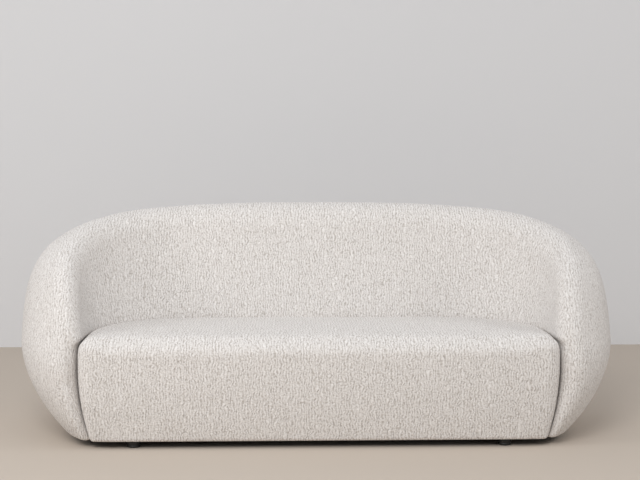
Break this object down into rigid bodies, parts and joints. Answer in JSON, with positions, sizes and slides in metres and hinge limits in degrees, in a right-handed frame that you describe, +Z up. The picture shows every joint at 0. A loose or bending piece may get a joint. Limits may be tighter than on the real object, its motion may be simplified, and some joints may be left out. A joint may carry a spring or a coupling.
{
  "type": "curved sofa",
  "caption": "Curved sofa: a low, tight seat block held in a fat, leaning horseshoe of back and arms, all in looped off-white cloth, on small round feet.",
  "frame": {"origin": "middle of the footprint on the floor", "axes": "+X to the sitter's left hand, the picture's right, -Y to the front, +Z up"},
  "size_m": [2.2966, 0.979, 0.8648],
  "materials": {
    "boucle": "matte",
    "foam": "matte",
    "plywood": "matte",
    "timber": "matte",
    "spring_steel": "satin",
    "webbing": "matte",
    "felt": "matte",
    "black_cloth": "matte",
    "steel": "satin",
    "black_plastic": "satin"
  },
  "bodies": {
    "root": {"outside_back_panel": "boucle", "back_and_arm_cover": "boucle", "back_foam": "foam", "left_arm_foam": "foam", "right_arm_foam": "foam", "left_arm_nose_foam": "foam", "right_arm_nose_foam": "foam", "back_rib_centre": "plywood", "left_back_rib": "plywood", "left_corner_rib_1": "plywood", "left_corner_rib_2": "plywood", "left_arm_rib": "plywood", "right_back_rib": "plywood", "right_corner_rib_1": "plywood", "right_corner_rib_2": "plywood", "right_arm_rib": "plywood", "waist_rail": "plywood", "shoulder_rail": "plywood", "seat_line_rail": "plywood", "top_rail": "plywood", "horseshoe_base_plate": "plywood", "lower_back_webbing": "webbing", "upper_back_webbing": "webbing", "outside_back_webbing": "webbing", "seat_cover": "boucle", "seat_foam": "foam", "seat_front_rail": "timber", "seat_rear_rail": "timber", "seat_side_rail_left": "timber", "seat_corner_rail_left": "timber", "seat_side_rail_right": "timber", "seat_corner_rail_right": "timber", "seat_cross_rail_1": "timber", "seat_cross_rail_2": "timber", "seat_cross_rail_3": "timber", "seat_spring_left_1": "spring_steel", "seat_spring_left_2": "spring_steel", "seat_spring_left_3": "spring_steel", "seat_spring_left_4": "spring_steel", "seat_spring_right_1": "spring_steel", "seat_spring_right_2": "spring_steel", "seat_spring_right_3": "spring_steel", "seat_spring_right_4": "spring_steel", "front_spring_strip": "timber", "rear_spring_strip": "timber", "spring_felt": "felt", "foot_front_left": "black_plastic", "foot_sleeve_front_left": "steel", "foot_front_right": "black_plastic", "foot_sleeve_front_right": "steel", "foot_rear_left": "black_plastic", "foot_sleeve_rear_left": "steel", "foot_rear_right": "black_plastic", "foot_sleeve_rear_right": "steel", "foot_centre": "black_plastic", "foot_sleeve_centre": "steel", "dust_cover": "black_cloth", "joining_plate_left": "steel", "joining_plate_right": "steel", "joining_plate_rear": "steel"}
  },
  "joints": []
}
